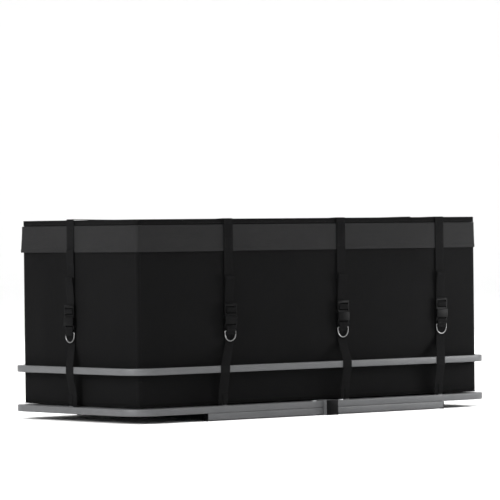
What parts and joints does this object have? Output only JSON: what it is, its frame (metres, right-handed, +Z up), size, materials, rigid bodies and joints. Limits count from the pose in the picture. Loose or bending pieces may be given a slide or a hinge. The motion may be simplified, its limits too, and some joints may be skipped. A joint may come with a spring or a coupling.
{
  "type": "hitch cargo carrier",
  "caption": "Steel basket cargo carrier on a square receiver shank, with a fitted black fabric cargo bag under a flap lid, strapped down with side-release buckles.",
  "frame": {"origin": "middle of the underside: half way along the shank in Y, middle of the tray in X, underside of the shank in Z", "axes": "+X along the tray, +Y along the shank to the vehicle, +Z up"},
  "size_m": [1.5882, 1.002, 0.6617],
  "materials": {
    "painted_steel": "satin grey powder coat",
    "black_plastic": "moulded, fine texture",
    "bag_fabric": "coated weave, semi-matt",
    "flap_fabric": "coated weave, semi-matt",
    "webbing": "ribbed polyester webbing",
    "zipper": "coil zipper on woven tape",
    "zinc": "zinc plated",
    "ring_steel": "dull nickel plated wire"
  },
  "bodies": {
    "carrier": {"shank": "painted_steel", "shank_end_cap": "black_plastic", "rear_crossbar": "painted_steel", "front_crossbar": "painted_steel", "rear_crossbar_cap_left": "black_plastic", "rear_crossbar_cap_right": "black_plastic", "front_crossbar_cap_left": "black_plastic", "front_crossbar_cap_right": "black_plastic", "rear_left_rail_bolt": "zinc", "rear_right_rail_bolt": "zinc", "front_left_rail_bolt": "zinc", "front_right_rail_bolt": "zinc", "hitch_pin": "zinc", "left_bottom_rail": "painted_steel", "left_guard_rail": "painted_steel", "left_floor": "painted_steel", "right_bottom_rail": "painted_steel", "right_guard_rail": "painted_steel", "right_floor": "painted_steel", "rear_splice": "painted_steel", "front_splice": "painted_steel", "bag_body": "bag_fabric", "body_zipper": "zipper", "car_side_left_webbing": "webbing", "car_side_middle_webbing": "webbing", "car_side_right_webbing": "webbing", "rear_left_female_buckle": "black_plastic", "rear_left_anchor_webbing": "webbing", "rear_middle_female_buckle": "black_plastic", "rear_middle_anchor_webbing": "webbing", "rear_right_female_buckle": "black_plastic", "rear_right_anchor_webbing": "webbing", "left_end_female_buckle": "black_plastic", "left_end_anchor_webbing": "webbing", "right_end_female_buckle": "black_plastic", "right_end_anchor_webbing": "webbing"},
    "lid": {"lid_panel": "bag_fabric", "rain_flap": "flap_fabric", "lid_zipper": "zipper", "lid_webbing_left": "webbing", "lid_webbing_middle": "webbing", "lid_webbing_right": "webbing", "lid_cross_webbing": "webbing"},
    "zipper_slider": {"zipper_slider": "zinc"},
    "pin_clip": {"pin_clip": "zinc"},
    "rear_left_strap": {"rear_left_hanging_webbing": "webbing", "rear_left_male_buckle": "black_plastic"},
    "rear_left_d_ring": {"rear_left_d_ring": "ring_steel"},
    "rear_middle_strap": {"rear_middle_hanging_webbing": "webbing", "rear_middle_male_buckle": "black_plastic"},
    "rear_middle_d_ring": {"rear_middle_d_ring": "ring_steel"},
    "rear_right_strap": {"rear_right_hanging_webbing": "webbing", "rear_right_male_buckle": "black_plastic"},
    "rear_right_d_ring": {"rear_right_d_ring": "ring_steel"},
    "left_end_strap": {"left_end_hanging_webbing": "webbing", "left_end_male_buckle": "black_plastic"},
    "left_end_d_ring": {"left_end_d_ring": "ring_steel"},
    "right_end_strap": {"right_end_hanging_webbing": "webbing", "right_end_male_buckle": "black_plastic"},
    "right_end_d_ring": {"right_end_d_ring": "ring_steel"}
  },
  "joints": [
    {"name": "lid_hinge", "type": "hinge", "parent": "carrier", "child": "lid", "pos_m": [0, 0.169, 0.6356], "axis": [-1, 0, 0], "range_deg": [0, 100]},
    {"name": "zipper_slide", "type": "slide", "parent": "carrier", "child": "zipper_slider", "axis": [-1, 0, 0], "range_m": [0, 1.36]},
    {"name": "clip_pull", "type": "slide", "parent": "carrier", "child": "pin_clip", "axis": [0, 0, 1], "range_m": [0, 0.05]},
    {"name": "rear_left_strap_swing", "type": "hinge", "parent": "lid", "child": "rear_left_strap", "pos_m": [-0.37, -0.4442, 0.5491], "axis": [-1, 0, 0], "range_deg": [-70, 0]},
    {"name": "rear_left_ring_swing", "type": "hinge", "parent": "carrier", "child": "rear_left_d_ring", "pos_m": [-0.37, -0.449, 0.2916], "axis": [-1, 0, 0], "range_deg": [0, 120]},
    {"name": "rear_middle_strap_swing", "type": "hinge", "parent": "lid", "child": "rear_middle_strap", "pos_m": [0.125, -0.4442, 0.5491], "axis": [-1, 0, 0], "range_deg": [-70, 0]},
    {"name": "rear_middle_ring_swing", "type": "hinge", "parent": "carrier", "child": "rear_middle_d_ring", "pos_m": [0.125, -0.449, 0.2916], "axis": [-1, 0, 0], "range_deg": [0, 120]},
    {"name": "rear_right_strap_swing", "type": "hinge", "parent": "lid", "child": "rear_right_strap", "pos_m": [0.58, -0.4442, 0.5491], "axis": [-1, 0, 0], "range_deg": [-70, 0]},
    {"name": "rear_right_ring_swing", "type": "hinge", "parent": "carrier", "child": "rear_right_d_ring", "pos_m": [0.58, -0.449, 0.2916], "axis": [-1, 0, 0], "range_deg": [0, 120]},
    {"name": "left_end_strap_swing", "type": "hinge", "parent": "lid", "child": "left_end_strap", "pos_m": [-0.7532, -0.095, 0.5491], "axis": [-1, 0, 0], "range_deg": [-70, 0]},
    {"name": "left_end_ring_swing", "type": "hinge", "parent": "carrier", "child": "left_end_d_ring", "pos_m": [-0.758, -0.095, 0.2916], "axis": [0, 1, 0], "range_deg": [0, 120]},
    {"name": "right_end_strap_swing", "type": "hinge", "parent": "lid", "child": "right_end_strap", "pos_m": [0.7532, -0.095, 0.5491], "axis": [-1, 0, 0], "range_deg": [-70, 0]},
    {"name": "right_end_ring_swing", "type": "hinge", "parent": "carrier", "child": "right_end_d_ring", "pos_m": [0.758, -0.095, 0.2916], "axis": [0, -1, 0], "range_deg": [0, 120]}
  ],
  "couplings": [
    {"joint": "rear_left_strap_swing", "follows": "lid_hinge", "ratio": -0.7},
    {"joint": "rear_middle_strap_swing", "follows": "lid_hinge", "ratio": -0.7},
    {"joint": "rear_right_strap_swing", "follows": "lid_hinge", "ratio": -0.7},
    {"joint": "left_end_strap_swing", "follows": "lid_hinge", "ratio": -0.7},
    {"joint": "right_end_strap_swing", "follows": "lid_hinge", "ratio": -0.7}
  ]
}
